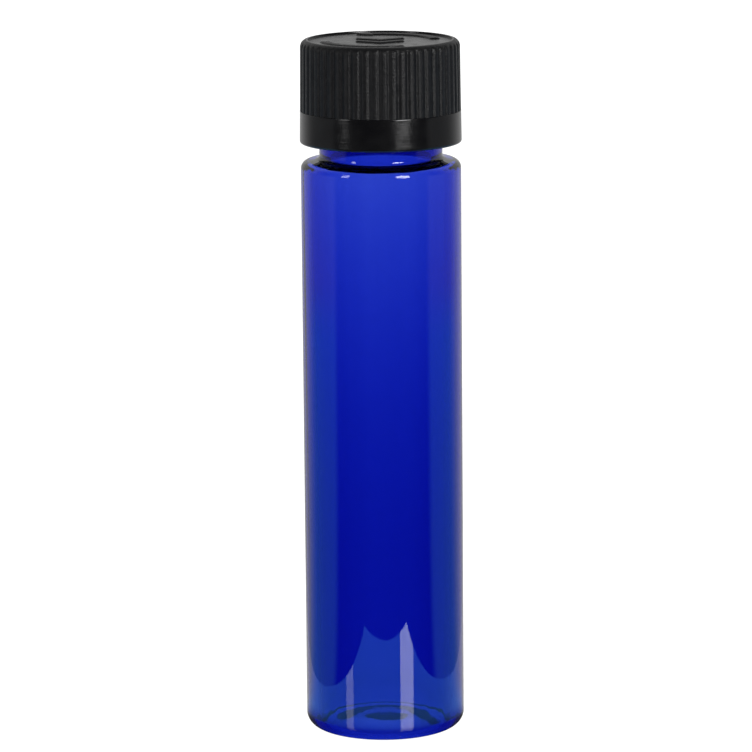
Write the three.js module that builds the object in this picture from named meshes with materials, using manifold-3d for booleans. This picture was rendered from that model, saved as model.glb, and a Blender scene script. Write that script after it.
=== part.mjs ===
// Prescription vial: a tall tinted PET vial with a threaded neck, closed by a two-shell
// push-down-and-turn closure. Millimetres, +Z up. The origin is the middle of the base.
import * as THREE from "three";
import { mergeVertices } from "three/addons/utils/BufferGeometryUtils.js";
import Module from "manifold-3d";

const wasm = await Module();
wasm.setup();

// Driving dimensions of the vial body.
const BODY_RADIUS = 15;
const WALL_BY_HEIGHT = [
  // height above the base, then the thickness of the side wall there
  [107, 1.4],
  [84, 1.8],
  [60, 2.2],
  [34, 2.5],
  [8, 2.6],
];
const HEEL_RADIUS = 2.7;
const INNER_HEEL_RADIUS = 1.2;
const BASE_THICKNESS = 1.1;
const STANDING_RING_INNER = 10.2;
const PUSH_UP = 1.5;
const GATE_RADIUS = 1.6;
const GATE_DROP = 0.3;
const SHOULDER_TOP = 109.1; // where it meets the neck
const SHOULDER_SLOPE = 10; // degrees, down towards the corner
const SHOULDER_CORNER = 1.52;
const SHOULDER_THICKNESS = 0.92;
const UNDERSIDE_SLOPE = 7.3;
const INNER_CORNER = 0.3;

// Neck finish: root, threaded wall, thread and mouth.
const NECK_ROOT_RADIUS = 11.52;
const NECK_ROOT_TOP = 113;
const NECK_FILLET = 0.85;
const BORE_FILLET = 1.2;
const NECK_WALL_RADIUS = 10.9;
const NECK_LAND = 125.4;
const MOUTH_RADIUS = 9.45;
const THREAD_RADIUS = 12;
const THREAD_PITCH = 3.175;
const NECK_THREAD_START = 115.4;
const NECK_THREAD_TURNS = 2;
const NECK_THREAD_HALF_WIDTHS = [1, 0.45];

// Inner cap: the threaded shell that seals the vial.
const INNER_BOTTOM = 113;
const INNER_TOP = 127.6;
const INNER_TOP_THICKNESS = 1.1;
const INNER_BORE_RADIUS = 12.25;
const INNER_SKIRT_RADIUS = 13.05;
const INNER_FLANGE_RADIUS = 13.3;
const INNER_FLANGE_HEIGHT = 0.9;
const CAP_THREAD_RADIUS = 11.15;
const CAP_THREAD_TURNS = 1.5;
const CAP_THREAD_HALF_WIDTHS = [0.9, 0.4];

// Outer cap: the gripped shell that turns freely until it is pressed down.
const CAP_BOTTOM = 112.05;
const CAP_LEDGE = 118.1;
const CAP_RIM = 131.35;
const CAP_FLOOR = 130.98;
const CAP_UNDERSIDE = 129.9;
const CAP_SKIRT_RADIUS = 15.14;
const CAP_LEDGE_RADIUS = 15.06;
const CAP_EDGE_RADIUS = 0.45;
const CAP_BORE_RADIUS = 13.55;
const CAP_RIM_RADIUS = 13.65;
const CAP_CROWN_HEIGHT = 1.35;
const RIB_COUNT = 52;
const RIB_CREST = 14.9; // at the crown; the grip widens a little towards the ledge
const RIB_SHOULDER = 14.84;
const RIB_GROOVE = 14.62;
const RIB_DRAFT = 0.011; // gained in radius for each millimetre down
const RIB_TIP = [
  // height above the crown's foot, then how far the rib has drawn in there
  [0.1, 0.04],
  [0.45, 0.2],
  [0.7, 0.52],
];
const RIB_START = THREE.MathUtils.degToRad(2.6);
const RETAINING_BEAD_RADIUS = 12.95;
const RETAINING_BEAD_TOP = 112.85;

// Between the two shells: drive lugs and the fingers that hold the outer cap up.
const LUG_COUNT = 8;
const LUG_HEIGHT = 1;
const LUG_WIDTH = 2.2;
const LUG_RAMP = 0.8;
const LUG_INNER = 9.6;
const LUG_LENGTH = 2.9;
const FINGER_COUNT = 8;
const FINGER_WIDTH = 1.6;
const FINGER_THICKNESS = 0.6;
const FINGER_ROOT = 8.4;
const FINGER_TIP = 3.2;

// Raised marks on the outer cap: turn arrows round a press-down chevron.
const MARK_HEIGHT = 0.28;
const ARROW_RADIUS = 10.4;
const ARROW_HALF_WIDTH = 0.9;
const ARROW_HEAD_HALF_WIDTH = 2;
const ARROW_SWEEP = THREE.MathUtils.degToRad(104);
const ARROW_HEAD_SWEEP = THREE.MathUtils.degToRad(17);

const LINER_RADIUS = 12;
const LINER_THICKNESS = 1;
const FACE_GAP = 0.05; // left between pieces that rest face to face
const EMBED = 0.3; // how deep a joined feature starts inside its wall
const SEGMENTS = 64;
const THREAD_STEPS = 36; // per turn
const FADE_TURNS = 0.12; // a thread runs out into its wall over this much of a turn

// A profile point: distance from the axis, then height.
function at(radius, height) {
  return new THREE.Vector2(radius, height);
}

// Points on a quarter (or other) arc about a centre, from one angle to another in degrees.
function arc(centreRadius, centreHeight, radius, from, to, steps) {
  return Array.from({ length: steps + 1 }, (_, i) => {
    const angle = THREE.MathUtils.degToRad(from + ((to - from) * i) / steps);
    return at(centreRadius + radius * Math.cos(angle), centreHeight + radius * Math.sin(angle));
  });
}

// A profile turned about +Z. It runs up the outside and down the inside.
function turned(profile) {
  return new THREE.LatheGeometry(profile, SEGMENTS).rotateX(Math.PI / 2);
}

// A three.js geometry as a solid for joining and cutting.
function solid(geometry) {
  const bare = geometry.index ? geometry.toNonIndexed() : geometry.clone();
  bare.deleteAttribute("normal");
  bare.deleteAttribute("uv");
  const merged = mergeVertices(bare, 1e-3);
  return new wasm.Manifold(
    new wasm.Mesh({
      numProp: 3,
      vertProperties: merged.attributes.position.array,
      triVerts: new Uint32Array(merged.index.array),
    }),
  );
}

// A solid as a three.js geometry.
function geometryOf(made) {
  const { vertProperties, triVerts } = made.getMesh();
  const geometry = new THREE.BufferGeometry();
  geometry.setAttribute("position", new THREE.BufferAttribute(vertProperties, 3));
  geometry.setIndex(new THREE.BufferAttribute(triVerts, 1));
  geometry.computeVertexNormals();
  return geometry;
}

function joined(...geometries) {
  return geometryOf(geometries.map(solid).reduce((whole, next) => whole.add(next)));
}

// A thread ridge. Its section is extruded straight, with its length in turns, and each
// point is then wound round the axis. Near both ends its crest sinks into the wall.
function threadRidge(wallRadius, crestRadius, halfWidths, turns, startHeight) {
  const outward = Math.sign(crestRadius - wallRadius);
  const root = wallRadius - outward * EMBED;
  const [rootHalf, crestHalf] = halfWidths;
  const section = new THREE.Shape([
    at(root, -rootHalf),
    at(crestRadius, -crestHalf),
    at(crestRadius, crestHalf),
    at(root, rootHalf),
  ]);
  const steps = Math.round(turns * THREAD_STEPS);
  const ridge = new THREE.ExtrudeGeometry(section, { depth: turns, steps, bevelEnabled: false });
  const place = ridge.getAttribute("position");
  for (let i = 0; i < place.count; i++) {
    const turn = turns - place.getZ(i);
    const angle = turn * 2 * Math.PI;
    const fade = Math.min(1, turn / FADE_TURNS, (turns - turn) / FADE_TURNS);
    const sunk = root + (place.getX(i) - root) * (0.2 + 0.8 * fade);
    const height = startHeight + turn * THREAD_PITCH + place.getY(i);
    place.setXYZ(i, sunk * Math.cos(angle), sunk * Math.sin(angle), height);
  }
  return ridge;
}

// The vial's shoulder slopes down from the neck to a rounded corner, outside and inside.
function vialBody() {
  const slope = THREE.MathUtils.degToRad(SHOULDER_SLOPE);
  const innerSlope = THREE.MathUtils.degToRad(UNDERSIDE_SLOPE);
  const cornerCentre = BODY_RADIUS - SHOULDER_CORNER;
  const slopeFoot = cornerCentre + SHOULDER_CORNER * Math.sin(slope);
  const slopeFootHeight = SHOULDER_TOP - Math.tan(slope) * (slopeFoot - NECK_ROOT_RADIUS);
  const cornerHeight = slopeFootHeight - SHOULDER_CORNER * Math.cos(slope);
  const filletCentre = NECK_ROOT_RADIUS + NECK_FILLET;
  const filletHeight =
    SHOULDER_TOP - Math.tan(slope) * NECK_FILLET + NECK_FILLET / Math.cos(slope);
  const underside = cornerHeight + SHOULDER_CORNER - SHOULDER_THICKNESS;
  const innerCorner = BODY_RADIUS - WALL_BY_HEIGHT[0][1] - INNER_CORNER;
  const boreFillet = MOUTH_RADIUS + BORE_FILLET;
  const boreFoot = underside + Math.tan(innerSlope) * (innerCorner - boreFillet);
  const floorEdge = BODY_RADIUS - WALL_BY_HEIGHT.at(-1)[1] - INNER_HEEL_RADIUS;
  const shell = turned([
    at(0, PUSH_UP - GATE_DROP),
    at(GATE_RADIUS * 0.7, PUSH_UP - GATE_DROP),
    at(GATE_RADIUS, PUSH_UP),
    at(STANDING_RING_INNER * 0.6, PUSH_UP * 0.75),
    at(STANDING_RING_INNER - 0.6, PUSH_UP * 0.2),
    at(STANDING_RING_INNER, 0),
    ...arc(BODY_RADIUS - HEEL_RADIUS, HEEL_RADIUS, HEEL_RADIUS, -90, 0, 5),
    ...arc(cornerCentre, cornerHeight, SHOULDER_CORNER, 0, 90 - SHOULDER_SLOPE, 4),
    ...arc(filletCentre, filletHeight, NECK_FILLET, 270 - SHOULDER_SLOPE, 180, 3),
    at(NECK_ROOT_RADIUS, NECK_ROOT_TOP),
    at(NECK_WALL_RADIUS, NECK_ROOT_TOP + NECK_ROOT_RADIUS - NECK_WALL_RADIUS),
    at(NECK_WALL_RADIUS, NECK_LAND - 0.3),
    at(NECK_WALL_RADIUS - 0.3, NECK_LAND),
    at(MOUTH_RADIUS + 0.2, NECK_LAND),
    at(MOUTH_RADIUS, NECK_LAND - 0.2),
    ...arc(boreFillet, boreFoot + BORE_FILLET, BORE_FILLET, 180, 270 - UNDERSIDE_SLOPE, 3),
    ...arc(innerCorner, underside - INNER_CORNER, INNER_CORNER, 90, 0, 2),
    ...WALL_BY_HEIGHT.map(([height, wall]) => at(BODY_RADIUS - wall, height)),
    ...arc(floorEdge, BASE_THICKNESS + INNER_HEEL_RADIUS, INNER_HEEL_RADIUS, 0, -90, 4),
    at(STANDING_RING_INNER * 0.6, BASE_THICKNESS + PUSH_UP * 0.6),
    at(0, BASE_THICKNESS + PUSH_UP * 0.85),
  ]);
  const thread = threadRidge(
    NECK_WALL_RADIUS,
    THREAD_RADIUS,
    NECK_THREAD_HALF_WIDTHS,
    NECK_THREAD_TURNS,
    NECK_THREAD_START,
  );
  return joined(shell, thread);
}

// A drive lug with one upright face and one ramp, standing on the plane z = 0.
function driveLug() {
  const half = LUG_WIDTH / 2;
  const side = new THREE.Shape([
    at(-half, -EMBED),
    at(half, -EMBED),
    at(half, LUG_HEIGHT),
    at(LUG_RAMP - half, LUG_HEIGHT),
    at(-half, 0),
  ]);
  const lug = new THREE.ExtrudeGeometry(side, { depth: LUG_LENGTH, bevelEnabled: false });
  return lug.rotateX(Math.PI / 2).translate(0, LUG_INNER + LUG_LENGTH, 0);
}

function innerCap() {
  const shell = turned([
    at(0, INNER_TOP - INNER_TOP_THICKNESS),
    at(INNER_BORE_RADIUS, INNER_TOP - INNER_TOP_THICKNESS),
    at(INNER_BORE_RADIUS, INNER_BOTTOM + 0.4),
    at(INNER_BORE_RADIUS + 0.4, INNER_BOTTOM),
    at(INNER_FLANGE_RADIUS - 0.3, INNER_BOTTOM),
    at(INNER_FLANGE_RADIUS, INNER_BOTTOM + 0.3),
    at(INNER_FLANGE_RADIUS, INNER_BOTTOM + INNER_FLANGE_HEIGHT),
    at(INNER_SKIRT_RADIUS, INNER_BOTTOM + INNER_FLANGE_HEIGHT + 0.3),
    ...arc(INNER_SKIRT_RADIUS - 0.8, INNER_TOP - 0.8, 0.8, 0, 90, 3),
    at(0, INNER_TOP),
  ]);
  const thread = threadRidge(
    INNER_BORE_RADIUS,
    CAP_THREAD_RADIUS,
    CAP_THREAD_HALF_WIDTHS,
    CAP_THREAD_TURNS,
    NECK_THREAD_START + THREAD_PITCH / 2,
  );
  const lugs = Array.from({ length: LUG_COUNT }, (_, i) =>
    driveLug()
      .rotateZ((i * 2 * Math.PI) / LUG_COUNT)
      .translate(0, 0, INNER_TOP),
  );
  return joined(shell, thread, ...lugs);
}

// The ribbed outline of the grip: a flat-topped rounded rib, then a narrow groove.
function ribbedOutline() {
  const pitch = (2 * Math.PI) / RIB_COUNT;
  const outline = [];
  for (let i = 0; i < RIB_COUNT; i++) {
    const rib = [
      [-0.5, RIB_GROOVE],
      [-0.27, RIB_SHOULDER],
      [0, RIB_CREST],
      [0.27, RIB_SHOULDER],
    ];
    for (const [share, radius] of rib) {
      const angle = (i + share) * pitch;
      outline.push(at(radius * Math.cos(angle), radius * Math.sin(angle)));
    }
  }
  return new THREE.Shape(outline);
}

// One arrow of a pair that shows which way the cap opens, as an outline about the axis.
function turnArrow(start) {
  const tip = start + ARROW_SWEEP;
  const neck = tip - ARROW_HEAD_SWEEP;
  const arrow = new THREE.Shape();
  arrow.absarc(0, 0, ARROW_RADIUS + ARROW_HALF_WIDTH, start, neck, false);
  for (const [radius, angle] of [
    [ARROW_RADIUS + ARROW_HEAD_HALF_WIDTH, neck],
    [ARROW_RADIUS, tip],
    [ARROW_RADIUS - ARROW_HEAD_HALF_WIDTH, neck],
  ])
    arrow.lineTo(radius * Math.cos(angle), radius * Math.sin(angle));
  arrow.absarc(0, 0, ARROW_RADIUS - ARROW_HALF_WIDTH, neck, start, true);
  return arrow;
}

// A broad chevron that says press here: its point is towards -Y by the given distance.
function chevron(point) {
  const half = 4.4;
  const rise = 2.6;
  const thick = 1.7;
  return new THREE.Shape([
    at(0, point),
    at(half, point + rise),
    at(half, point + rise + thick),
    at(0, point + thick),
    at(-half, point + rise + thick),
    at(-half, point + rise),
  ]);
}

function raisedMark(outline) {
  const depth = MARK_HEIGHT + EMBED;
  const mark = new THREE.ExtrudeGeometry(outline, { depth, bevelEnabled: false, curveSegments: 12 });
  return mark.translate(0, 0, CAP_FLOOR - EMBED);
}

// The ribs of the grip: they widen a little towards the ledge, as the mould's draft makes
// them, and their tips draw in to run out on the crown.
function gripRibs(crownBase) {
  const grip = ribbedOutline();
  grip.holes.push(new THREE.Path().absarc(0, 0, CAP_BORE_RADIUS + 0.5, 0, 2 * Math.PI, true));
  const foot = CAP_LEDGE - EMBED;
  const levels = [
    [foot, -RIB_DRAFT * (crownBase - foot)],
    ...RIB_TIP.map(([rise, inward]) => [crownBase + rise, inward]),
  ];
  const steps = RIB_TIP.length;
  const ribs = new THREE.ExtrudeGeometry(grip, {
    depth: steps,
    steps,
    bevelEnabled: false,
    curveSegments: SEGMENTS,
  });
  const place = ribs.getAttribute("position");
  for (let i = 0; i < place.count; i++) {
    const [height, inward] = levels[Math.round(place.getZ(i))];
    const gain = 1 - inward / RIB_CREST;
    place.setXYZ(i, place.getX(i) * gain, place.getY(i) * gain, height);
  }
  return ribs.rotateZ(RIB_START);
}

function outerCap() {
  const crownFoot = RIB_GROOVE - 0.07;
  const crownWidth = crownFoot - CAP_RIM_RADIUS;
  const crownBase = CAP_RIM - CAP_CROWN_HEIGHT;
  const edge = CAP_EDGE_RADIUS;
  const crown = arc(0, 0, 1, 0, 90, 5).map(({ x, y }) =>
    at(CAP_RIM_RADIUS + crownWidth * x, crownBase + CAP_CROWN_HEIGHT * y),
  );
  const shell = turned([
    at(0, CAP_UNDERSIDE),
    at(CAP_BORE_RADIUS - 0.6, CAP_UNDERSIDE),
    at(CAP_BORE_RADIUS, CAP_UNDERSIDE - 0.6),
    at(CAP_BORE_RADIUS, RETAINING_BEAD_TOP + 0.4),
    at(RETAINING_BEAD_RADIUS, RETAINING_BEAD_TOP),
    at(RETAINING_BEAD_RADIUS, CAP_BOTTOM + 0.4),
    at(RETAINING_BEAD_RADIUS + 0.4, CAP_BOTTOM),
    ...arc(CAP_SKIRT_RADIUS - edge, CAP_BOTTOM + edge, edge, -90, 0, 3),
    at(CAP_LEDGE_RADIUS, CAP_LEDGE - 0.1),
    at(CAP_LEDGE_RADIUS - 0.1, CAP_LEDGE),
    at(crownFoot, CAP_LEDGE),
    ...crown,
    at(CAP_RIM_RADIUS - 0.1, CAP_FLOOR),
    at(0, CAP_FLOOR),
  ]);
  const lugs = Array.from({ length: LUG_COUNT }, (_, i) =>
    driveLug()
      .rotateY(Math.PI)
      .rotateZ(((i + 0.5) * 2 * Math.PI) / LUG_COUNT)
      .translate(0, 0, CAP_UNDERSIDE),
  );
  const marks = [turnArrow(0.2), turnArrow(0.2 + Math.PI), chevron(-0.6), chevron(-4.6)];
  return joined(shell, gripRibs(crownBase), ...lugs, ...marks.map(raisedMark));
}

// A springy finger: rooted under the outer cap, its foot rests on the inner cap.
function springFinger() {
  const top = CAP_UNDERSIDE - FACE_GAP;
  const foot = INNER_TOP + FACE_GAP;
  const side = new THREE.Shape();
  side.moveTo(FINGER_ROOT, top);
  side.lineTo(FINGER_ROOT - 1, top);
  side.quadraticCurveTo(FINGER_ROOT - 2.4, top, FINGER_TIP, foot + FINGER_THICKNESS);
  side.lineTo(FINGER_TIP, foot);
  side.lineTo(FINGER_TIP + 0.5, foot);
  side.quadraticCurveTo(FINGER_ROOT - 2, top - FINGER_THICKNESS, FINGER_ROOT, top - FINGER_THICKNESS);
  const finger = new THREE.ExtrudeGeometry(side, {
    depth: FINGER_WIDTH,
    bevelEnabled: false,
    curveSegments: 5,
  });
  return finger.translate(0, 0, -FINGER_WIDTH / 2).rotateX(Math.PI / 2);
}

function liner() {
  const top = INNER_TOP - INNER_TOP_THICKNESS - FACE_GAP;
  return turned([
    at(0, top - LINER_THICKNESS),
    at(LINER_RADIUS, top - LINER_THICKNESS),
    at(LINER_RADIUS, top),
    at(0, top),
  ]);
}

const tintedPet = new THREE.MeshStandardMaterial({
  color: 0x0a28b4,
  roughness: 0.06,
  metalness: 0,
  transparent: true,
  opacity: 0.6,
});
const blackPolypropylene = new THREE.MeshStandardMaterial({
  color: 0x17171a,
  roughness: 0.45,
  metalness: 0,
});
const whitePolypropylene = new THREE.MeshStandardMaterial({
  color: 0xe6e6e2,
  roughness: 0.4,
  metalness: 0,
});
const foam = new THREE.MeshStandardMaterial({ color: 0xf0efe9, roughness: 0.85, metalness: 0 });

const vial = new THREE.Group();

function addPiece(name, geometry, material) {
  const piece = new THREE.Mesh(geometry, material);
  piece.name = name;
  vial.add(piece);
  return piece;
}

addPiece("vial_body", vialBody(), tintedPet);
addPiece("liner", liner(), foam);
addPiece("inner_cap", innerCap(), whitePolypropylene);
addPiece("outer_cap", outerCap(), blackPolypropylene);
for (let i = 0; i < FINGER_COUNT; i++) {
  const finger = addPiece(`spring_finger_${i + 1}`, springFinger(), blackPolypropylene);
  finger.rotation.z = (i * 2 * Math.PI) / FINGER_COUNT;
}

export default vial;
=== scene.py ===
from math import cos, pi, radians, sin, tan

import bpy
import numpy as np
from mathutils import Matrix, Vector


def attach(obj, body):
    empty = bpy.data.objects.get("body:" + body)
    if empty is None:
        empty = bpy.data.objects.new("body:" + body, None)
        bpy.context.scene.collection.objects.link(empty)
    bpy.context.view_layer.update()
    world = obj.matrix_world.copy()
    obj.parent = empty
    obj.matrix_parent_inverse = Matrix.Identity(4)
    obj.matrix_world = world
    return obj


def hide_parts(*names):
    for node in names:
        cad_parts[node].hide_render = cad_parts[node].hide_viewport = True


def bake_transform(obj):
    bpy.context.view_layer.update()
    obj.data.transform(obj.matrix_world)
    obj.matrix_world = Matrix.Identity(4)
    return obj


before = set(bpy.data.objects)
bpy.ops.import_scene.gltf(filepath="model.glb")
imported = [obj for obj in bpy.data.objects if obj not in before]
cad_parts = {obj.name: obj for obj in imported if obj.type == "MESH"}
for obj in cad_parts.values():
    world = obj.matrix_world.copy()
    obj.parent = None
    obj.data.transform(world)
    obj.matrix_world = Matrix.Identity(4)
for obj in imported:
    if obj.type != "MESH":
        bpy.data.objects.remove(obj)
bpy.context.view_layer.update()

MM = 0.001

# Sizes of the object in millimetres, as in part.mjs.
BODY_RADIUS = 15
WALL_BY_HEIGHT = (
    # height above the base, then the thickness of the side wall there
    (107, 1.4),
    (84, 1.8),
    (60, 2.2),
    (34, 2.5),
    (8, 2.6),
)
HEEL_RADIUS = 2.7
INNER_HEEL_RADIUS = 1.2
BASE_THICKNESS = 1.1
STANDING_RING_INNER = 10.2
PUSH_UP = 1.5
PUSH_UP_POWER = 1.6  # above 1, the push-up stays high further out
FLOOR_RISE = 1.275  # the floor's rise over the push-up
GATE_RADIUS = 1.6
GATE_FLAT_RADIUS = 0.8
GATE_DROP = 0.3
SHOULDER_TOP = 109.1  # where it meets the neck
SHOULDER_SLOPE = 10  # degrees, down towards the corner
SHOULDER_CORNER = 1.52
SHOULDER_THICKNESS = 0.92
UNDERSIDE_SLOPE = 7.3
INNER_CORNER = 0.3
INSIDE_WAVES = (
    # how far the inside stands off true: height of a wave, waves round the vial, phase
    (0.03, 3, 0.4),
    (0.014, 11, 1.9),
    (0.009, 23, 4.2),
    (0.006, 41, 2.6),
)
INSIDE_REACH = 0.15  # how far from the true inside a point still belongs to it

NECK_ROOT_RADIUS = 11.52
NECK_ROOT_TOP = 113
NECK_FILLET = 0.85
BORE_FILLET = 1.2
NECK_WALL_RADIUS = 10.9
NECK_LAND = 125.4
MOUTH_RADIUS = 9.45
OUTER_LIP = 0.3
MOUTH_LIP = 0.2
THREAD_HEIGHT = 1.1
THREAD_PITCH = 3.175
THREAD_HALF_WIDTHS = (0.86, 0.42)  # at its root and at its crest
NECK_THREAD_START = 115.4
NECK_THREAD_TURNS = 2
FADE_TURNS = 0.12  # a thread runs out into its wall over this much of a turn

INNER_BOTTOM = 113
INNER_TOP = 127.6
INNER_TOP_THICKNESS = 1.1
INNER_BORE_RADIUS = 12.25
INNER_SKIRT_RADIUS = 13.05
INNER_FLANGE_RADIUS = 13.3
INNER_FLANGE_HEIGHT = 0.9
INNER_EDGE = 0.3
INNER_MOUTH_EDGE = 0.4
INNER_TOP_EDGE = 0.8
CAP_THREAD_TURNS = 1.5

CAP_BOTTOM = 112.05
CAP_LEDGE = 118.1
CAP_RIM = 131.35
CAP_FLOOR = 130.98
CAP_UNDERSIDE = 129.9
CAP_SKIRT_RADIUS = 15.14
CAP_LEDGE_RADIUS = 15.06
CAP_EDGE_RADIUS = 0.45
CRISP_EDGE = 0.08
CAP_BORE_RADIUS = 13.55
CAP_BORE_CORNER = 0.6
CAP_RIM_RADIUS = 13.65
CAP_RIM_FLAT = 0.12
CAP_FLOOR_FILLET = 0.1
CAP_FLOOR_RADIUS = CAP_RIM_RADIUS - CAP_RIM_FLAT - CRISP_EDGE - CAP_FLOOR_FILLET
CAP_CROWN_HEIGHT = 1.35
CROWN_FOOT = CAP_RIM - CAP_CROWN_HEIGHT
RIB_COUNT = 52
RIB_CREST = 14.9  # at the crown; the grip widens a little towards the ledge
RIB_DRAFT = 0.011  # gained in radius for each millimetre down
RIB_DEPTH = 0.28
RIB_START = radians(2.6)
RIB_FLAT = 0.28  # the share of a rib's width that is its flat crest
GROOVE_POWER = 1.3  # above 1, the groove is narrower than the rib
GROOVE_REACH = 0.9  # how far in from the crests the grooves are cut
GROOVE_RUN_OUT = (0.3, 1.15)  # the heights above the crown's foot where it ends
GRIP_FOOT = 0.05
RIM_GLOSS_DROP = 0.45  # the gloss of the sunk floor comes over the rim this far down
RIM_GLOSS_REACH = 0.2  # and this far out
RETAINING_BEAD_RADIUS = 12.95
RETAINING_BEAD_TOP = 112.85
BEAD_LEAD = 0.4
BEAD_TOP_EDGE = 0.2
BEAD_FOOT_EDGE = 0.4

LUG_COUNT = 8
LUG_HEIGHT = 1
LUG_HALF_WIDTH = 1.1
LUG_RAMP = 0.8
LUG_INNER = 9.6
LUG_OUTER = 12.5
LUG_SIDE = 0.1  # how far out a lug's steep sides lean
FINGER_COUNT = 8
FINGER_WIDTH = 1.6
FINGER_THICKNESS = 0.6
FINGER_ROOT = 8.4
FINGER_ROOT_LENGTH = 1
FINGER_TIP = 3.2
FINGER_EDGE = 0.1
FACE_GAP = 0.05  # left between pieces that rest face to face

MARK_HEIGHT = 0.28
MARK_SIDE = (-0.1, 0.14)  # how far inside its outline a mark's side starts and ends
ARROW_RADIUS = 10.4
ARROW_HALF_WIDTH = 0.9
ARROW_HEAD_HALF_WIDTH = 2
ARROW_SWEEP = radians(104)
ARROW_HEAD_SWEEP = radians(17)
ARROW_START = 0.2
CHEVRON_POINTS = (-0.6, -4.6)
PAINT_HEIGHT = 0.03  # a mark is matte from this far above the sunk floor

LINER_RADIUS = 12
LINER_THICKNESS = 1
LINER_EDGE = 0.15
LINER_DENT = 0.06  # how far the vial's mouth presses into it

# How finely Blender's surfaces are cut: the height or the width of a row of faces.
ROUND_SEGMENTS = 288
RIB_SEGMENTS = 10
WALL_ROW = 6
GRIP_ROW = 0.4
FLAT_ROW = 0.2
TOP_ROW = 0.17
THREAD_ROW = 0.12
EDGE_ROW = 0.02
SAME = 1e-4  # places closer than this count as the same place


# ---------------------------------------------------------------- profiles


def arc(centre_radius, centre_height, radius, start, end, steps=12):
    """Points on an arc in the profile plane, from one angle to another in degrees."""
    angles = np.radians(np.linspace(start, end, steps + 1))
    return [(centre_radius + radius * cos(a), centre_height + radius * sin(a)) for a in angles]


def stretch(start, end, step):
    """Points from start to end, evenly spaced at about the given step, both ends included."""
    start, end = np.array(start, float), np.array(end, float)
    count = max(1, round(np.linalg.norm(end - start) / step))
    return [tuple(start + (end - start) * share) for share in np.linspace(0, 1, count + 1)]


def guarded(profile, guard=0.12):
    """Adds a point close to each end of a long stretch, which keeps its shading flat."""
    kept = [np.array(profile[0], float)]
    for point in profile[1:]:
        last, point = kept[-1], np.array(point, float)
        length = np.linalg.norm(point - last)
        if length < SAME:
            continue
        if length > 5 * guard:
            along = (point - last) / length
            kept += [last + along * guard, point - along * guard]
        kept.append(point)
    return np.array(kept)


def falling(share):
    """1 at share 0, and a smooth fall to 0 at share 1."""
    return 0.5 * (1 + cos(pi * share))


# ---------------------------------------------------------------- meshes


def mesh_object(name, vertices, faces, materials, face_materials=None, sharp=40):
    """A smooth-shaded mesh object. Vertices are in millimetres."""
    mesh = bpy.data.meshes.new(name)
    mesh.from_pydata((np.asarray(vertices) * MM).tolist(), [], faces)
    for material in materials:
        mesh.materials.append(material)
    if face_materials is not None:
        mesh.polygons.foreach_set("material_index", face_materials)
    mesh.polygons.foreach_set("use_smooth", [True] * len(mesh.polygons))
    mesh.set_sharp_from_angle(angle=radians(sharp))
    mesh.update()
    piece = bpy.data.objects.new(name, mesh)
    bpy.context.scene.collection.objects.link(piece)
    return piece


def turned_faces(rows, segments):
    """The faces of a turned solid: rows of quads with a fan at each pole. The poles come
    last among the vertices."""
    here = np.arange(segments)
    after = (here + 1) % segments
    start_pole = rows * segments
    faces = [(start_pole, b, a) for a, b in zip(here.tolist(), after.tolist())]
    for row in range(rows - 1):
        low, high = row * segments, (row + 1) * segments
        faces += np.stack([low + here, low + after, high + after, high + here], axis=1).tolist()
    last = (rows - 1) * segments
    faces += [(last + a, last + b, start_pole + 1) for a, b in zip(here.tolist(), after.tolist())]
    return faces


def revolve(name, profile, materials, segments=ROUND_SEGMENTS, shape=None, slot_of=None):
    """A solid turned about +Z. The profile starts and ends on the axis, and runs up the
    outside and down the inside. shape(radius, height, angle) may move the points of a row,
    and slot_of(radius, height) gives a row's material."""
    profile = guarded(profile)
    inner = profile[1:-1]
    angle = np.linspace(0, 2 * pi, segments, endpoint=False)[None, :]
    radius = np.repeat(inner[:, :1], segments, axis=1)
    height = np.repeat(inner[:, 1:], segments, axis=1)
    if shape:
        radius, height = shape(radius, height, np.repeat(angle, len(inner), axis=0))
    ring = np.stack([radius * np.cos(angle), radius * np.sin(angle), height], axis=-1)
    poles = [(0, 0, profile[0][1]), (0, 0, profile[-1][1])]
    vertices = np.concatenate([ring.reshape(-1, 3), poles])
    slots = None
    if slot_of:
        middles = np.concatenate([inner[:1], (inner[1:] + inner[:-1]) / 2, inner[-1:]])
        slots = np.repeat([slot_of(r, z) for r, z in middles], segments).tolist()
    return mesh_object(name, vertices, turned_faces(len(inner), segments), materials, slots)


def step_up(value, low, high):
    """0 below low, 1 above high, and a smooth rise between."""
    share = np.clip((value - low) / (high - low), 0, 1)
    return share * share * (3 - 2 * share)


def thread_ridge(height, angle, start, turns):
    """How far a right-handed thread stands out at each height and angle, from 0 to 1."""
    root_half, crest_half = THREAD_HALF_WIDTHS
    stand = np.zeros_like(height)
    for whole in range(int(turns) + 1):
        turn = angle / (2 * pi) + whole
        off = np.abs(height - (start + turn * THREAD_PITCH))
        ridge = np.clip((root_half - off) / (root_half - crest_half), 0, 1)
        fade = step_up(np.minimum(turn, turns - turn), 0, FADE_TURNS)
        stand = np.maximum(stand, ridge * fade)
    return stand


def lug_height(radius, angle, offset):
    """How far the ring of drive lugs stands up: each has one upright face and one ramp."""
    pitch = 2 * pi / LUG_COUNT
    near = (angle - offset * pitch + pitch / 2) % pitch - pitch / 2
    across = near * radius
    ramp = np.clip((across + LUG_HALF_WIDTH) / LUG_RAMP, 0, 1)
    upright = 1 - step_up(across, LUG_HALF_WIDTH - LUG_SIDE, LUG_HALF_WIDTH)
    within = step_up(radius, LUG_INNER, LUG_INNER + LUG_SIDE)
    within = within * (1 - step_up(radius, LUG_OUTER - LUG_SIDE, LUG_OUTER))
    return LUG_HEIGHT * ramp * upright * within


# ---------------------------------------------------------------- marks on the cap


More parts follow.
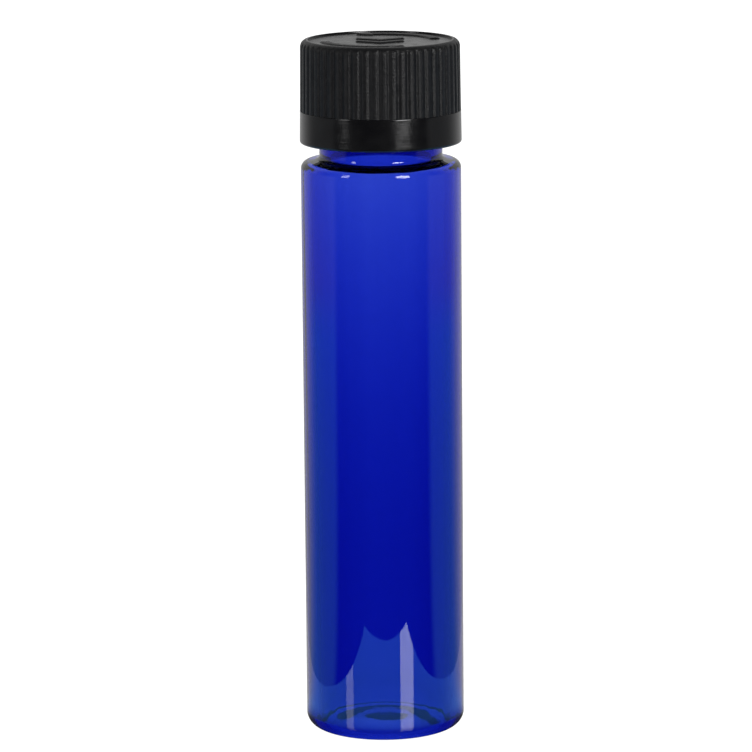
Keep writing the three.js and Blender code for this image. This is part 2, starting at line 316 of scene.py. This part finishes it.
def turn_arrow(start):
    """The outline of one curved arrow that shows which way the cap opens."""
    tip = start + ARROW_SWEEP
    neck = tip - ARROW_HEAD_SWEEP
    outer, inner = ARROW_RADIUS + ARROW_HALF_WIDTH, ARROW_RADIUS - ARROW_HALF_WIDTH
    shaft = np.linspace(start, neck, 24)
    outline = [(outer * cos(a), outer * sin(a)) for a in shaft]
    head = [
        (ARROW_RADIUS + ARROW_HEAD_HALF_WIDTH, neck),
        (ARROW_RADIUS, tip),
        (ARROW_RADIUS - ARROW_HEAD_HALF_WIDTH, neck),
    ]
    outline += [(radius * cos(a), radius * sin(a)) for radius, a in head]
    outline += [(inner * cos(a), inner * sin(a)) for a in shaft[::-1]]
    return np.array(outline)


def chevron(point):
    """The outline of a broad chevron that says press here."""
    half, rise, thick = 4.4, 2.6, 1.7
    return np.array([
        (0, point),
        (half, point + rise),
        (half, point + rise + thick),
        (0, point + thick),
        (-half, point + rise + thick),
        (-half, point + rise),
    ])


def depth_inside(x, y, outline):
    """The distance to an outline, positive inside it and negative outside."""
    nearest = np.full(x.shape, np.inf)
    inside = np.zeros(x.shape, bool)
    for (ax, ay), (bx, by) in zip(outline, np.roll(outline, -1, axis=0)):
        dx, dy = bx - ax, by - ay
        along = np.clip(((x - ax) * dx + (y - ay) * dy) / (dx * dx + dy * dy), 0, 1)
        nearest = np.minimum(nearest, np.hypot(x - ax - along * dx, y - ay - along * dy))
        if dy:
            crosses = ((ay > y) != (by > y)) & (x < (y - ay) * dx / dy + ax)
            inside ^= crosses
    return np.where(inside, nearest, -nearest)


MARKS = [turn_arrow(ARROW_START + half_turn) for half_turn in (0, pi)]
MARKS += [chevron(point) for point in CHEVRON_POINTS]


def mark_height(radius, angle):
    """How far the raised marks stand above the cap's sunk floor."""
    x, y = radius * np.cos(angle), radius * np.sin(angle)
    depth = np.max([depth_inside(x, y, outline) for outline in MARKS], axis=0)
    return MARK_HEIGHT * step_up(depth, *MARK_SIDE)


# ---------------------------------------------------------------- materials

NOISE_MIDDLE = (0.3, 0.7)  # a noise pattern lies mostly between these
PET_TINT = (0, 0.207, 0.815)  # the light that it doesn't absorb
PET_TINT_DENSITY = 1350
PET_INDEX = 1.57
GRIP_GRAIN = 0.00005


def new_material(name):
    """A material with a Principled shader: the material, its tree and the shader."""
    material = bpy.data.materials.new(name)
    material.use_nodes = True
    tree = material.node_tree
    return material, tree, tree.nodes["Principled BSDF"]


def object_point(tree, stretch_by=(1, 1, 1)):
    """The surface point in the piece's own frame, with each axis scaled."""
    place = tree.nodes.new("ShaderNodeTexCoord")
    mapping = tree.nodes.new("ShaderNodeMapping")
    mapping.inputs["Scale"].default_value = stretch_by
    tree.links.new(place.outputs["Object"], mapping.inputs["Vector"])
    return mapping.outputs["Vector"]


def noise(tree, scale, detail=3, stretch_by=(1, 1, 1)):
    """A noise pattern. Scale is in waves per metre."""
    pattern = tree.nodes.new("ShaderNodeTexNoise")
    pattern.inputs["Scale"].default_value = scale
    pattern.inputs["Detail"].default_value = detail
    tree.links.new(object_point(tree, stretch_by), pattern.inputs["Vector"])
    return pattern.outputs["Fac"]


def map_range(tree, source, sources, results=(0, 1), smooth=False):
    """Turns one range of values into another."""
    mapped = tree.nodes.new("ShaderNodeMapRange")
    mapped.interpolation_type = "SMOOTHSTEP" if smooth else "LINEAR"
    names = ("From Min", "From Max", "To Min", "To Max")
    for name, value in zip(names, (*sources, *results)):
        mapped.inputs[name].default_value = value
    tree.links.new(source, mapped.inputs["Value"])
    return mapped.outputs["Result"]


def mix_colours(tree, share, first, second):
    """A colour between two, each of which is a colour or a node's output."""
    mix = tree.nodes.new("ShaderNodeMix")
    mix.data_type = "RGBA"
    for name, colour in (("A", first), ("B", second)):
        if isinstance(colour, tuple):
            mix.inputs[name].default_value = (*colour, 1)
        else:
            tree.links.new(colour, mix.inputs[name])
    tree.links.new(share, mix.inputs["Factor"])
    return mix.outputs["Result"]


def varied_material(name, colours, colour_scale, roughness, roughness_scale):
    """A material whose colour and roughness each vary a little between two values."""
    material, tree, shader = new_material(name)
    share = map_range(tree, noise(tree, colour_scale), NOISE_MIDDLE)
    tree.links.new(mix_colours(tree, share, *colours), shader.inputs["Base Color"])
    rough = map_range(tree, noise(tree, roughness_scale), NOISE_MIDDLE, roughness)
    tree.links.new(rough, shader.inputs["Roughness"])
    return material, tree, shader


def bump(tree, source, distance, strength=1.0, under=None):
    """A bump of the given height in metres, over another bump if there is one."""
    node = tree.nodes.new("ShaderNodeBump")
    node.inputs["Distance"].default_value = distance
    node.inputs["Strength"].default_value = strength
    tree.links.new(source, node.inputs["Height"])
    if under:
        tree.links.new(under, node.inputs["Normal"])
    return node.outputs["Normal"]


def tinted_pet():
    """Clear cobalt-blue PET: nearly colourless at its surface, and tinted by its depth."""
    colours = ((0.94, 0.96, 1), (1, 1, 1))
    material, tree, shader = varied_material("tinted_pet", colours, 90, (0.008, 0.03), 400)
    waves = noise(tree, 160, detail=1, stretch_by=(1, 1, 0.12))
    tree.links.new(bump(tree, waves, 0.00002), shader.inputs["Normal"])
    shader.inputs["Transmission Weight"].default_value = 1
    shader.inputs["IOR"].default_value = PET_INDEX
    depth = tree.nodes.new("ShaderNodeVolumeAbsorption")
    depth.inputs["Color"].default_value = (*PET_TINT, 1)
    depth.inputs["Density"].default_value = PET_TINT_DENSITY
    tree.links.new(depth.outputs["Volume"], tree.nodes["Material Output"].inputs["Volume"])
    return material


def black_grip():
    """Black polypropylene from a spark-eroded mould: a fine even matte texture."""
    colours = ((0.0025, 0.0025, 0.003), (0.005, 0.005, 0.0055))
    material, tree, shader = varied_material("black_grip", colours, 700, (0.34, 0.46), 1500)
    fine = bump(tree, noise(tree, 6000, detail=2), GRIP_GRAIN, 0.8)
    coarse = bump(tree, noise(tree, 2600), GRIP_GRAIN * 2, 0.8, under=fine)
    tree.links.new(coarse, shader.inputs["Normal"])
    shader.inputs["Specular IOR Level"].default_value = 0.24
    return material


def black_gloss(name, rough):
    """Black polypropylene from a turned and polished mould, with faint turning lines."""
    colours = ((0.002, 0.002, 0.0025), (0.004, 0.004, 0.0045))
    material, tree, shader = varied_material(name, colours, 300, rough, 500)
    lines = bump(tree, noise(tree, 200, stretch_by=(1, 1, 22)), 0.00001, 0.8)
    tree.links.new(lines, shader.inputs["Normal"])
    return material


def white_polypropylene():
    """Natural white polypropylene of the inner cap, slightly translucent."""
    name, colours = "white_polypropylene", ((0.74, 0.74, 0.71), (0.82, 0.82, 0.8))
    material, tree, shader = varied_material(name, colours, 250, (0.32, 0.45), 900)
    tree.links.new(bump(tree, noise(tree, 3000), 0.00001, 0.5), shader.inputs["Normal"])
    shader.inputs["Subsurface Weight"].default_value = 0.25
    shader.inputs["Subsurface Radius"].default_value = (0.001, 0.001, 0.0009)
    return material


def liner_foam():
    """Closed-cell foam: a matte white face with the dimples of its cells."""
    colours = ((0.72, 0.71, 0.68), (0.86, 0.85, 0.82))
    material, tree, shader = varied_material("liner_foam", colours, 1800, (0.75, 0.95), 2500)
    cells = tree.nodes.new("ShaderNodeTexVoronoi")
    cells.inputs["Scale"].default_value = 3200
    tree.links.new(object_point(tree), cells.inputs["Vector"])
    tree.links.new(bump(tree, cells.outputs["Distance"], 0.00006, 0.8), shader.inputs["Normal"])
    return material


# ---------------------------------------------------------------- the vial


def wall_at(height):
    """The thickness of the vial's side wall, which grows towards the base."""
    heights, walls = zip(*reversed(WALL_BY_HEIGHT))
    return np.interp(height, heights, walls)


def push_up_profile():
    """Under the base: the sunk gate mark, then a dome down to the standing ring."""
    span = STANDING_RING_INNER - GATE_RADIUS
    dome = []
    for radius in np.linspace(GATE_RADIUS, STANDING_RING_INNER, 24):
        share = ((radius - GATE_RADIUS) / span) ** PUSH_UP_POWER
        dome.append((radius, PUSH_UP * falling(share)))
    return [
        (0, PUSH_UP - GATE_DROP),
        *arc(GATE_FLAT_RADIUS, PUSH_UP, GATE_DROP, -90, 0, 6),
        *dome,
    ]


def neck_profile():
    """The outside of the neck, its lip and the edge of its mouth."""
    wall_foot = NECK_ROOT_TOP + NECK_ROOT_RADIUS - NECK_WALL_RADIUS
    wall_top = NECK_LAND - OUTER_LIP
    return [
        (NECK_ROOT_RADIUS, NECK_ROOT_TOP),
        *stretch((NECK_WALL_RADIUS, wall_foot), (NECK_WALL_RADIUS, wall_top), THREAD_ROW),
        *arc(NECK_WALL_RADIUS - OUTER_LIP, wall_top, OUTER_LIP, 0, 90, 6),
        *arc(MOUTH_RADIUS + MOUTH_LIP, NECK_LAND - MOUTH_LIP, MOUTH_LIP, 90, 180, 6),
    ]


def inside_profile(underside):
    """From the bore, out under the shoulder, down the wall and in over the floor."""
    corner = BODY_RADIUS - wall_at(SHOULDER_TOP) - INNER_CORNER
    fillet = MOUTH_RADIUS + BORE_FILLET
    bore_foot = underside + tan(radians(UNDERSIDE_SLOPE)) * (corner - fillet)
    wall_top = underside - INNER_CORNER
    wall_foot = BASE_THICKNESS + INNER_HEEL_RADIUS
    heel = BODY_RADIUS - wall_at(0) - INNER_HEEL_RADIUS
    floor = np.linspace(heel, 0, 24)[1:]
    return [
        *arc(fillet, bore_foot + BORE_FILLET, BORE_FILLET, 180, 270 - UNDERSIDE_SLOPE, 14),
        *arc(corner, wall_top, INNER_CORNER, 90, 0, 8),
        *[(BODY_RADIUS - wall_at(z), z) for z in np.linspace(wall_top, wall_foot, 40)],
        *arc(heel, wall_foot, INNER_HEEL_RADIUS, 0, -90, 16),
        *[(radius, BASE_THICKNESS + FLOOR_RISE * falling(radius / heel)) for radius in floor],
    ]


def vial_profile():
    """The shoulder slopes down from the neck to a rounded corner."""
    slope = radians(SHOULDER_SLOPE)
    corner = BODY_RADIUS - SHOULDER_CORNER
    slope_foot = corner + SHOULDER_CORNER * sin(slope)
    slope_foot_height = SHOULDER_TOP - tan(slope) * (slope_foot - NECK_ROOT_RADIUS)
    corner_height = slope_foot_height - SHOULDER_CORNER * cos(slope)
    fillet = NECK_ROOT_RADIUS + NECK_FILLET
    fillet_height = SHOULDER_TOP - tan(slope) * NECK_FILLET + NECK_FILLET / cos(slope)
    return [
        *push_up_profile(),
        *arc(BODY_RADIUS - HEEL_RADIUS, HEEL_RADIUS, HEEL_RADIUS, -90, 0, 20),
        *stretch((BODY_RADIUS, HEEL_RADIUS), (BODY_RADIUS, corner_height), WALL_ROW),
        *arc(corner, corner_height, SHOULDER_CORNER, 0, 90 - SHOULDER_SLOPE, 16),
        *arc(fillet, fillet_height, NECK_FILLET, 270 - SHOULDER_SLOPE, 180, 12),
        *neck_profile(),
        *inside_profile(corner_height + SHOULDER_CORNER - SHOULDER_THICKNESS),
    ]


def shape_vial(radius, height, angle):
    """Adds the neck's thread, and the inside's slight unevenness, which shows as streaks."""
    on_neck = (height > NECK_ROOT_TOP) & (radius > NECK_WALL_RADIUS - SAME)
    ridge = thread_ridge(height, angle, NECK_THREAD_START, NECK_THREAD_TURNS)
    radius = radius + np.where(on_neck, THREAD_HEIGHT * ridge, 0)
    inside = np.abs(radius - (BODY_RADIUS - wall_at(height))) < INSIDE_REACH
    inside &= (height < SHOULDER_TOP) & (height > BASE_THICKNESS + INNER_HEEL_RADIUS)
    uneven = sum(size * np.sin(waves * angle + phase) for size, waves, phase in INSIDE_WAVES)
    return radius + np.where(inside, uneven, 0), height


def make_vial(material):
    vial = revolve("tinted_vial", vial_profile(), [material], shape=shape_vial)
    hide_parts("vial_body")
    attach(vial, "vial")


# ---------------------------------------------------------------- the closure


def grip_radius(height):
    """The crest of a rib: the grip widens a little towards the ledge."""
    return RIB_CREST + RIB_DRAFT * (CROWN_FOOT - height)


def cap_inside_profile():
    """Under the outer cap's top and down its bore, to the retaining bead."""
    corner = CAP_BORE_RADIUS - CAP_BORE_CORNER
    bead_top = (RETAINING_BEAD_RADIUS + BEAD_TOP_EDGE, RETAINING_BEAD_TOP - BEAD_TOP_EDGE)
    bead_foot = (RETAINING_BEAD_RADIUS + BEAD_FOOT_EDGE, CAP_BOTTOM + BEAD_FOOT_EDGE)
    return [
        *stretch((0, CAP_UNDERSIDE), (corner, CAP_UNDERSIDE), FLAT_ROW),
        *arc(corner, CAP_UNDERSIDE - CAP_BORE_CORNER, CAP_BORE_CORNER, 90, 0, 6),
        (CAP_BORE_RADIUS, RETAINING_BEAD_TOP + BEAD_LEAD),
        *arc(*bead_top, BEAD_TOP_EDGE, 90, 180, 4),
        *arc(*bead_foot, BEAD_FOOT_EDGE, 180, 270, 6),
    ]


def outer_cap_profile():
    edge = CAP_EDGE_RADIUS
    grip_foot = grip_radius(CAP_LEDGE)
    crown = RIB_CREST - CAP_RIM_RADIUS
    rim_inner = CAP_RIM_RADIUS - CAP_RIM_FLAT
    fillet_height = CAP_FLOOR + CAP_FLOOR_FILLET
    return [
        *cap_inside_profile(),
        *arc(CAP_SKIRT_RADIUS - edge, CAP_BOTTOM + edge, edge, -90, 0, 12),
        *arc(CAP_LEDGE_RADIUS - CRISP_EDGE, CAP_LEDGE - CRISP_EDGE, CRISP_EDGE, 0, 90, 5),
        (grip_foot - CRISP_EDGE, CAP_LEDGE),
        *stretch((grip_foot, CAP_LEDGE + GRIP_FOOT), (RIB_CREST, CROWN_FOOT), GRIP_ROW),
        *[(CAP_RIM_RADIUS + crown * cos(a), CROWN_FOOT + CAP_CROWN_HEIGHT * sin(a))
          for a in np.radians(np.linspace(0, 90, 15))],
        *arc(rim_inner, CAP_RIM - CRISP_EDGE, CRISP_EDGE, 90, 180, 4),
        *arc(CAP_FLOOR_RADIUS, fillet_height, CAP_FLOOR_FILLET, 0, -90, 4),
        *stretch((CAP_FLOOR_RADIUS - EDGE_ROW, CAP_FLOOR), (0, CAP_FLOOR), TOP_ROW),
    ]


def groove_depth(height, angle):
    """How far the grooves between the ribs go in. They run out over the crown."""
    phase = ((angle - RIB_START) * RIB_COUNT / (2 * pi)) % 1
    off_crest = 2 * np.minimum(phase, 1 - phase)
    across = step_up(off_crest, RIB_FLAT, 1) ** GROOVE_POWER
    begins, ends = GROOVE_RUN_OUT
    return RIB_DEPTH * across * (1 - step_up(height, CROWN_FOOT + begins, CROWN_FOOT + ends))


def shape_outer_cap(radius, height, angle):
    """Cuts the grooves between the ribs, raises the marks and hangs the drive lugs."""
    on_grip = (radius > RIB_CREST - GROOVE_REACH) & (height > CAP_LEDGE + SAME)
    radius = radius - np.where(on_grip, groove_depth(height, angle), 0)
    on_floor = (np.abs(height - CAP_FLOOR) < SAME) & (radius < CAP_FLOOR_RADIUS)
    raised = np.zeros_like(height)
    raised[on_floor] = mark_height(radius[on_floor], angle[on_floor])
    underneath = np.abs(height - CAP_UNDERSIDE) < SAME
    hanging = np.where(underneath, lug_height(radius, -angle, 0.5), 0)
    return radius, height + raised - hanging


def outer_cap_slot(radius, height):
    """Which of the grip's, the band's and the sunk floor's finish a row of the cap has."""
    grip, band, floor = range(3)
    if height > CAP_RIM - RIM_GLOSS_DROP and radius < CAP_RIM_RADIUS + RIM_GLOSS_REACH:
        return floor
    return band if height < CAP_LEDGE + SAME and radius > CAP_BORE_RADIUS else grip


def paint_marks(cap, material_index):
    """Gives the raised marks one finish, and leaves the floor between them as it is."""
    for face in cap.data.polygons:
        centre = face.center / MM
        if centre.z > CAP_FLOOR + PAINT_HEIGHT and centre.xy.length < CAP_FLOOR_RADIUS:
            face.material_index = material_index


def make_outer_cap(grip, band, floor):
    cap = revolve(
        "grip_cap",
        outer_cap_profile(),
        [grip, band, floor],
        segments=RIB_COUNT * RIB_SEGMENTS,
        shape=shape_outer_cap,
        slot_of=outer_cap_slot,
    )
    paint_marks(cap, cap.data.materials.find(grip.name))
    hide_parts("outer_cap")
    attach(cap, "outer_closure")


def inner_cap_profile():
    bore, skirt, flange = INNER_BORE_RADIUS, INNER_SKIRT_RADIUS, INNER_FLANGE_RADIUS
    underside = INNER_TOP - INNER_TOP_THICKNESS
    bore_top = underside - INNER_EDGE
    bore_foot = INNER_BOTTOM + INNER_MOUTH_EDGE
    top_corner = skirt - INNER_TOP_EDGE
    flange_top = INNER_BOTTOM + INNER_FLANGE_HEIGHT
    return [
        (0, underside),
        *arc(bore - INNER_EDGE, bore_top, INNER_EDGE, 90, 0, 5),
        *stretch((bore, bore_top), (bore, bore_foot), THREAD_ROW),
        *arc(bore + INNER_MOUTH_EDGE, bore_foot, INNER_MOUTH_EDGE, 180, 270, 6),
        *arc(flange - INNER_EDGE, INNER_BOTTOM + INNER_EDGE, INNER_EDGE, -90, 0, 6),
        (flange, flange_top),
        (skirt, flange_top + INNER_EDGE),
        *arc(top_corner, INNER_TOP - INNER_TOP_EDGE, INNER_TOP_EDGE, 0, 90, 10),
        *stretch((top_corner, INNER_TOP), (0, INNER_TOP), FLAT_ROW),
    ]


def shape_inner_cap(radius, height, angle):
    """Adds the thread in the bore, half a pitch above the neck's, and the drive lugs."""
    in_bore = (np.abs(radius - INNER_BORE_RADIUS) < SAME) & (height < INNER_TOP - SAME)
    start = NECK_THREAD_START + THREAD_PITCH / 2
    ridge = thread_ridge(height, angle, start, CAP_THREAD_TURNS)
    on_top = np.abs(height - INNER_TOP) < SAME
    lugs = np.where(on_top, lug_height(radius, angle, 0), 0)
    return radius - np.where(in_bore, THREAD_HEIGHT * ridge, 0), height + lugs


def make_inner_cap(material):
    cap = revolve("threaded_inner_cap", inner_cap_profile(), [material], shape=shape_inner_cap)
    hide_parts("inner_cap")
    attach(cap, "inner_closure")


def liner_profile():
    """A round disc with a shallow dent where it is pressed on the vial's mouth."""
    top = INNER_TOP - INNER_TOP_THICKNESS - FACE_GAP
    bottom = top - LINER_THICKNESS
    edge = LINER_RADIUS - LINER_EDGE
    middle = (MOUTH_RADIUS + NECK_WALL_RADIUS) / 2
    half = (NECK_WALL_RADIUS - MOUTH_RADIUS) / 2
    across = np.linspace(-1, 1, 13)
    return [
        (0, bottom),
        *[(middle + half * share, bottom + LINER_DENT * (1 - share**4)) for share in across],
        *arc(edge, bottom + LINER_EDGE, LINER_EDGE, -90, 0, 4),
        *arc(edge, top - LINER_EDGE, LINER_EDGE, 0, 90, 4),
        (0, top),
    ]


def make_liner(material):
    disc = revolve("foam_liner", liner_profile(), [material])
    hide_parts("liner")
    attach(disc, "seal")


def finger_mesh(outline, turn):
    """The vertices and faces of a bar with the given side outline, turned about +Z. The
    outline runs along the top and then back along the underside."""
    count = len(outline)
    sides = (-FINGER_WIDTH / 2, FINGER_WIDTH / 2)
    points = [Vector((radius, side, height)) for side in sides for radius, height in outline]
    faces = [(i, (i + 1) % count, count + (i + 1) % count, count + i) for i in range(count)]
    strips = [(i, i + 1, count - 2 - i, count - 1 - i) for i in range(count // 2 - 1)]
    faces += [tuple(reversed(strip)) for strip in strips]
    faces += [tuple(count + corner for corner in strip) for strip in strips]
    return [turn @ point for point in points], faces


def make_finger(index, material):
    """A springy finger between the shells, from its root under the outer cap's top down to its
    foot on the inner cap.
    """
    top, foot = CAP_UNDERSIDE - FACE_GAP, INNER_TOP + FACE_GAP
    bend = FINGER_ROOT - FINGER_ROOT_LENGTH
    share = np.linspace(0, 1, 13)
    run = bend - share * (bend - FINGER_TIP)
    drop = (top - foot - FINGER_THICKNESS) * step_up(share, 0, 1)
    upper = [(FINGER_ROOT, top), *zip(run, top - drop)]
    lower = [(radius, height - FINGER_THICKNESS) for radius, height in upper]
    turn = Matrix.Rotation(index * 2 * pi / FINGER_COUNT, 3, "Z")
    vertices, faces = finger_mesh(upper + lower[::-1], turn)
    finger = mesh_object(f"finger_{index + 1}", vertices, faces, [material], sharp=30)
    edges = finger.modifiers.new("edges", "BEVEL")
    edges.width = FINGER_EDGE * MM
    edges.segments = 2
    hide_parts(f"spring_finger_{index + 1}")
    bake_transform(finger)


# ---------------------------------------------------------------- studio

# The vial stands on a pale floor with a white background, and two tall lamps stand in front
# of it. Just below the floor lie two sheets that only gloss surfaces see. They stand for what
# surrounds the vial: a gloss plinth that glows with painted light, with painted shade round the
# vial's foot and painted blue light for the light that falls through the vial, and a room that
# is dark in front and paler beside and behind. Lengths are in metres.
# A name with BEHIND or SIDES gives where one colour starts to turn into the next and where it
# has done so, on a scale from -1 straight in front of the vial to 1 straight behind it.
FLOOR_SPAN = (-4, 4)
FLOOR_GLOW = 1.0
PLINTH_X = (-0.049, 0.054)
PLINTH_Y = (-0.094, 0.16)
PLINTH_HEIGHT = -0.0002
PLINTH_COLOUR = (0.01, 0.01, 0.01)
PLINTH_ROUGHNESS = 0.03
# painted light: the blue light that falls through the vial, as a glow on the plinth
PLINTH_PAINTED_BLUE_LIGHT = (0.15, 0.58, 1.5)
PLINTH_PAINTED_SHADE_TO_LIGHT = (0.018, 0.032)  # from the axis: painted shade round the foot up to the first, painted blue light full beyond the second
PLINTH_BEHIND = (0.1, 0.7)
ROOM_SPAN = (-3, 3)
ROOM_HEIGHT = -0.0004
ROOM_FRONT = (0.015, 0.015, 0.015)
ROOM_SIDES = (-0.44, -0.26)
SIDE_NEAR = (0.11, 0.35, 0.6)
SIDE_FAR = (0.22, 0.22, 0.22)
SIDE_REACH = (0.42, 0.54)  # from the axis: where the near colour ends and the far one starts
ROOM_BEHIND = (0.3, 0.85)
ROOM_BACK = (0.55, 0.55, 0.55)
WORLD_BEHIND = (-0.1, 0.6)
WORLD_IN_GLOSS = (0.03, 0.5)  # its brightness there, in front and behind
LAMPS = (
    # direction from straight ahead, width seen, both in degrees; then brightness
    (31.5, 19.5, 12),
    (-52.5, 11.5, 5.5),
)
LAMP_DISTANCE = 0.6
LAMP_Z = (0.09, 0.42)
CAMERA_FOCUS = (0, 0, 0.065)
CAMERA_AIM = (-0.00127, 0, 0.067515)
CAMERA_DISTANCE = 0.842345
CAMERA_PITCH = radians(11.075)
CAMERA_ROLL = radians(-0.492)
CAMERA_LENS = 213.656
CAMERA_SENSOR = 36
CAMERA_NEAREST = 0.01


def floor_material():
    """A pale floor lit evenly from below, with a faint shadow on it."""
    material, tree, shader = new_material("floor")
    share = map_range(tree, noise(tree, 30), NOISE_MIDDLE)
    colour = mix_colours(tree, share, (0.2, 0.2, 0.2), (0.22, 0.22, 0.22))
    tree.links.new(colour, shader.inputs["Base Color"])
    shader.inputs["Roughness"].default_value = 1
    shader.inputs["Specular IOR Level"].default_value = 0
    shader.inputs["Emission Color"].default_value = (1, 1, 1, 1)
    shader.inputs["Emission Strength"].default_value = FLOOR_GLOW
    return material


def vector_maths(tree, operation, vector):
    node = tree.nodes.new("ShaderNodeVectorMath")
    node.operation = operation
    tree.links.new(vector, node.inputs[0])
    return node.outputs


def from_vial(tree):
    """How far from the vial a point of a sheet is, and how far round behind it, from -1
    straight in front to 1 straight behind."""
    place = object_point(tree)
    distance = vector_maths(tree, "LENGTH", place)["Value"]
    towards = tree.nodes.new("ShaderNodeSeparateXYZ")
    tree.links.new(vector_maths(tree, "NORMALIZE", place)["Vector"], towards.inputs["Vector"])
    return distance, towards.outputs["Y"]


def blend_over(tree, source, sources, first, second):
    """A colour that turns from the first into the second as the source crosses a range."""
    return mix_colours(tree, map_range(tree, source, sources, smooth=True), first, second)


def plinth_material():
    """Dark gloss plastic that glows with painted light: painted shade round the vial's foot,
    then painted blue light for the light that falls through the vial, turning pale behind it.
    """
    material, tree, shader = new_material("plinth")
    shader.inputs["Base Color"].default_value = (*PLINTH_COLOUR, 1)
    shader.inputs["Roughness"].default_value = PLINTH_ROUGHNESS
    distance, behind = from_vial(tree)
    # painted shade round the vial's foot, turning into the painted blue light further out
    painted_shade_and_light = blend_over(tree, distance, PLINTH_PAINTED_SHADE_TO_LIGHT, (0, 0, 0), PLINTH_PAINTED_BLUE_LIGHT)
    glow = blend_over(tree, behind, PLINTH_BEHIND, painted_shade_and_light, ROOM_BACK)
    tree.links.new(glow, shader.inputs["Emission Color"])
    shader.inputs["Emission Strength"].default_value = 1
    return material


def room_material():
    """The room low down: dark in front, cool beside the vial, and pale behind."""
    material, tree, shader = new_material("room")
    tree.nodes.remove(shader)
    glow = tree.nodes.new("ShaderNodeEmission")
    tree.links.new(glow.outputs["Emission"], tree.nodes["Material Output"].inputs["Surface"])
    distance, behind = from_vial(tree)
    sides = blend_over(tree, distance, SIDE_REACH, SIDE_NEAR, SIDE_FAR)
    back = blend_over(tree, behind, ROOM_BEHIND, sides, ROOM_BACK)
    room = blend_over(tree, behind, ROOM_SIDES, ROOM_FRONT, back)
    tree.links.new(room, glow.inputs["Color"])
    return material


def flat_sheet(name, x, y, height, material):
    corners = [(x[0], y[0]), (x[1], y[0]), (x[1], y[1]), (x[0], y[1])]
    mesh = bpy.data.meshes.new(name)
    mesh.from_pydata([(a, b, height) for a, b in corners], [], [(0, 1, 2, 3)])
    mesh.materials.append(material)
    sheet = bpy.data.objects.new(name, mesh)
    bpy.context.scene.collection.objects.link(sheet)
    return sheet


def make_floor():
    """The floor, and below it the two sheets that only gloss surfaces see."""
    floor = flat_sheet("floor", FLOOR_SPAN, FLOOR_SPAN, 0, floor_material())
    floor.visible_glossy = False
    floor.visible_diffuse = False
    floor.visible_shadow = False
    sheets = [
        flat_sheet("plinth", PLINTH_X, PLINTH_Y, PLINTH_HEIGHT, plinth_material()),
        flat_sheet("room", ROOM_SPAN, ROOM_SPAN, ROOM_HEIGHT, room_material()),
    ]
    for sheet in sheets:
        sheet.visible_camera = False
        sheet.visible_diffuse = False
        sheet.visible_transmission = False
        sheet.visible_shadow = False


def make_lamps():
    bottom, top = LAMP_Z
    for index, (direction, width, brightness) in enumerate(LAMPS):
        lamp = bpy.data.lights.new(f"lamp_{index}", "AREA")
        lamp.shape = "RECTANGLE"
        lamp.size = 2 * LAMP_DISTANCE * tan(radians(width / 2))
        lamp.size_y = top - bottom
        lamp.energy = brightness * pi * lamp.size * lamp.size_y
        holder = bpy.data.objects.new(lamp.name, lamp)
        bpy.context.scene.collection.objects.link(holder)
        turn = radians(direction)
        place = Vector((sin(turn), -cos(turn), 0)) * LAMP_DISTANCE
        place.z = (top + bottom) / 2
        holder.location = place
        holder.rotation_euler = (pi / 2, 0, turn)
        holder.visible_camera = False
        holder.visible_transmission = False


def make_world():
    """White, except in gloss: there it is nearly dark in front and pale behind."""
    world = bpy.data.worlds.new("studio")
    bpy.context.scene.world = world
    world.use_nodes = True
    tree = world.node_tree
    background = tree.nodes["Background"]
    background.inputs["Color"].default_value = (1, 1, 1, 1)
    direction = tree.nodes.new("ShaderNodeTexCoord")
    split = tree.nodes.new("ShaderNodeSeparateXYZ")
    tree.links.new(direction.outputs["Generated"], split.inputs["Vector"])
    in_gloss = map_range(tree, split.outputs["Y"], WORLD_BEHIND, WORLD_IN_GLOSS, smooth=True)
    path = tree.nodes.new("ShaderNodeLightPath")
    pick = tree.nodes.new("ShaderNodeMix")
    pick.data_type = "FLOAT"
    pick.inputs["A"].default_value = 1.0
    tree.links.new(path.outputs["Is Glossy Ray"], pick.inputs["Factor"])
    tree.links.new(in_gloss, pick.inputs["B"])
    tree.links.new(pick.outputs["Result"], background.inputs["Strength"])


def make_camera():
    """A long lens a little above the vial, aimed at its middle."""
    away = Vector((0, -cos(CAMERA_PITCH), sin(CAMERA_PITCH)))
    place = Vector(CAMERA_FOCUS) + CAMERA_DISTANCE * away
    data = bpy.data.cameras.new("camera")
    data.lens = CAMERA_LENS
    data.sensor_width = CAMERA_SENSOR
    data.clip_start = CAMERA_NEAREST
    camera = bpy.data.objects.new("camera", data)
    bpy.context.scene.collection.objects.link(camera)
    look = (Vector(CAMERA_AIM) - place).to_track_quat("-Z", "Y").to_matrix()
    rolled = look @ Matrix.Rotation(CAMERA_ROLL, 3, "Z")
    camera.matrix_world = Matrix.Translation(place) @ rolled.to_4x4()
    bpy.context.scene.camera = camera


def set_rendering():
    scene = bpy.context.scene
    scene.view_settings.view_transform = "Standard"
    scene.cycles.use_denoising = True
    scene.cycles.max_bounces = 20
    scene.cycles.transmission_bounces = 16
    scene.cycles.glossy_bounces = 10
    scene.cycles.transparent_max_bounces = 16


make_camera()
set_rendering()
make_world()
make_floor()
make_lamps()

grip_black = black_grip()
band_black = black_gloss("black_band", rough=(0.13, 0.2))
floor_black = black_gloss("black_floor", rough=(0.2, 0.32))
make_vial(tinted_pet())
make_outer_cap(grip_black, band_black, floor_black)
make_inner_cap(white_polypropylene())
make_liner(liner_foam())
for finger_index in range(FINGER_COUNT):
    make_finger(finger_index, grip_black)
